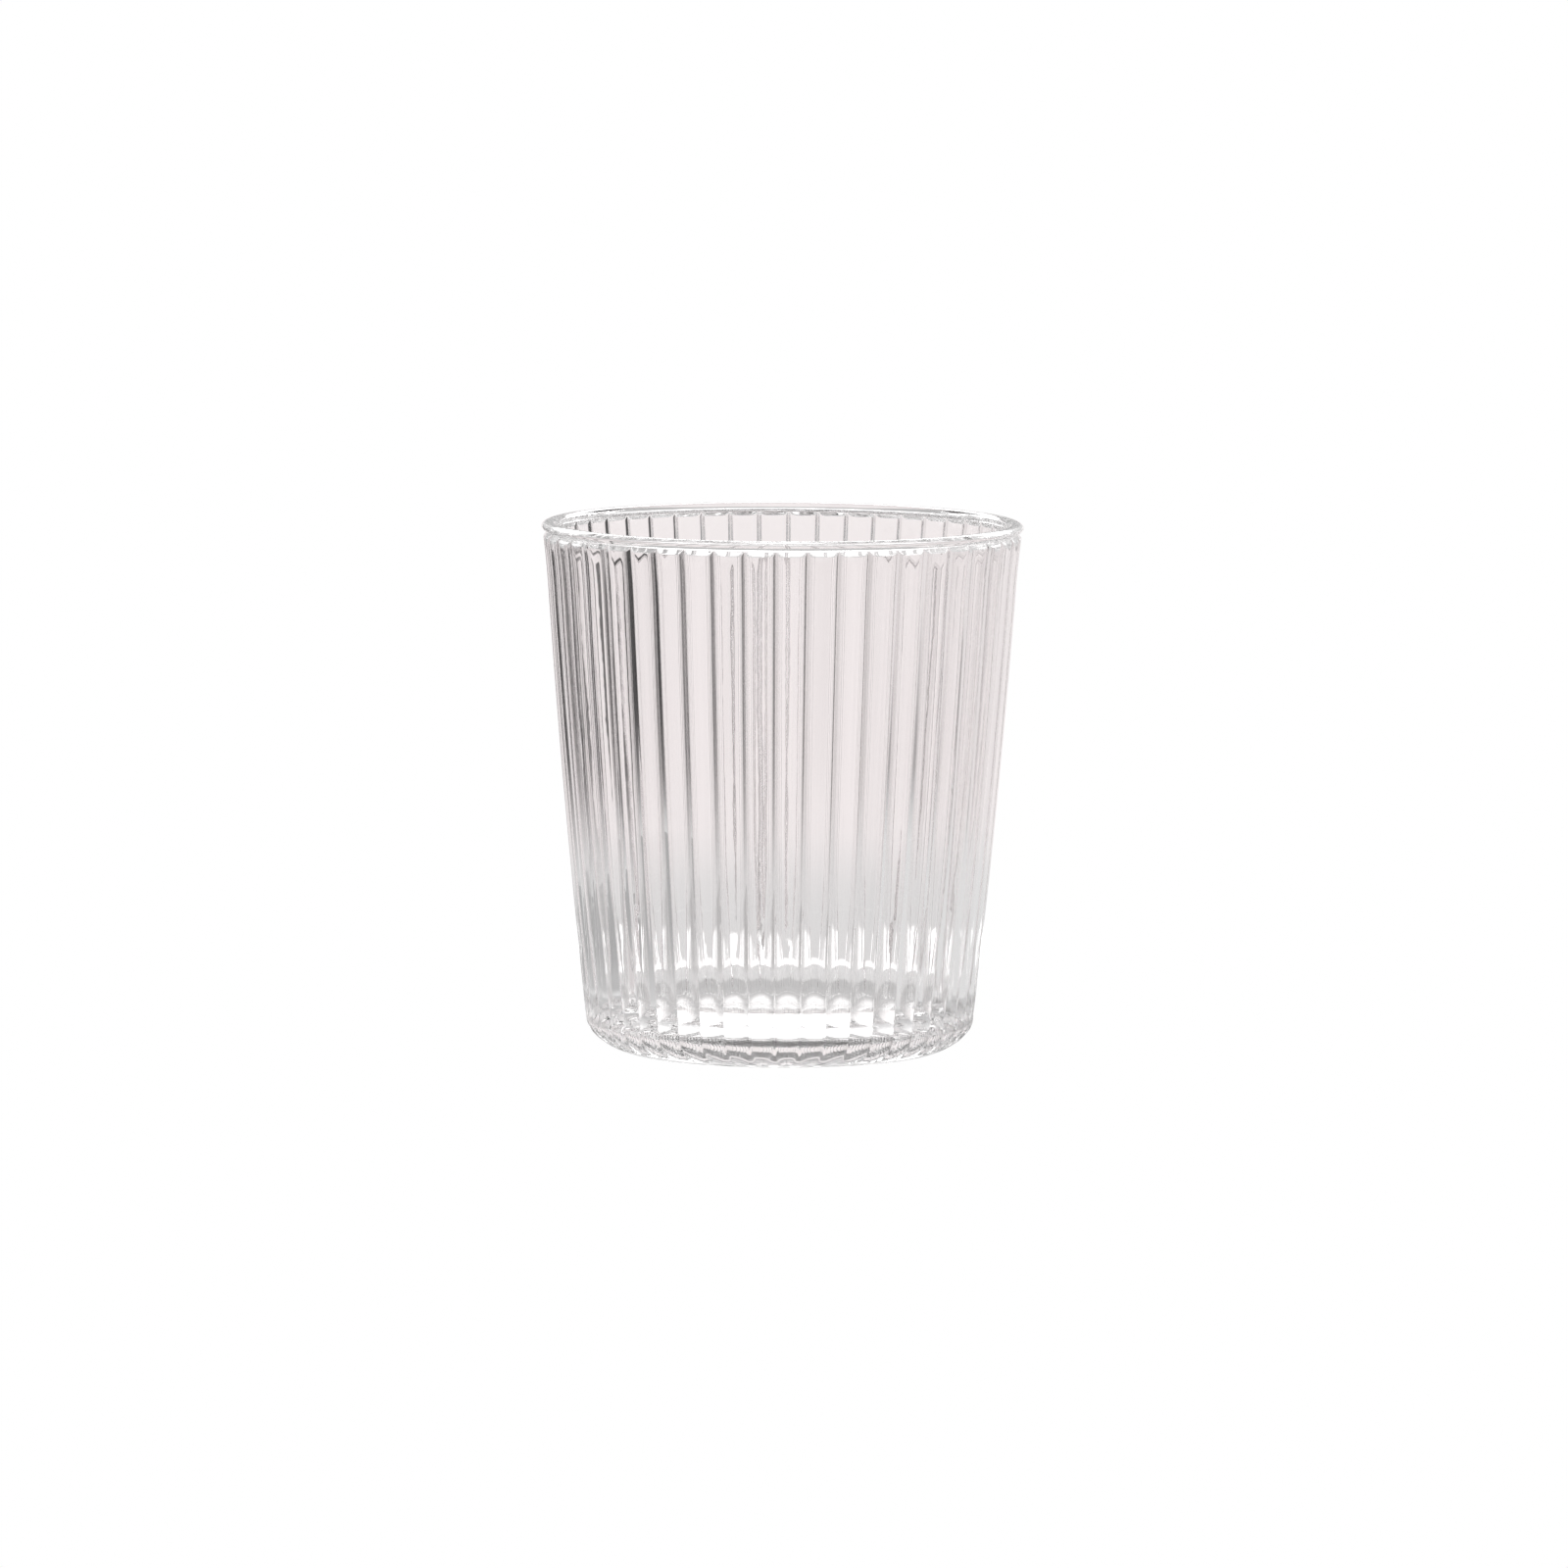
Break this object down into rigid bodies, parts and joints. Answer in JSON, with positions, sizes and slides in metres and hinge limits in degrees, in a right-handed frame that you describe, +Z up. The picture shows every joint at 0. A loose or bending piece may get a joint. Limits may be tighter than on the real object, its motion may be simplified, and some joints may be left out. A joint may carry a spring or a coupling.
{
  "type": "water glass",
  "caption": "Clear glass tumbler for water: a slightly flared, finely ribbed wall with a smooth round rim, a rounded heel and a thick flat base.",
  "frame": {"origin": "centre of the foot, on the surface that the glass stands on", "axes": "+Z up along the glass's axis, -Y towards the viewer of the picture, with a valley between two ribs facing -Y, +X to the viewer's right"},
  "size_m": [0.082, 0.082, 0.09],
  "materials": {
    "base_glass": "clear soda-lime glass, mould-blown and smooth, thick enough to look slightly grey",
    "wall_glass": "clear soda-lime glass, blown in a ribbed mould, glossy with slight waves",
    "rim_glass": "clear soda-lime glass, fire-polished smooth"
  },
  "bodies": {
    "root": {"base": "base_glass", "ribbed_wall": "wall_glass", "rim": "rim_glass"}
  },
  "joints": []
}
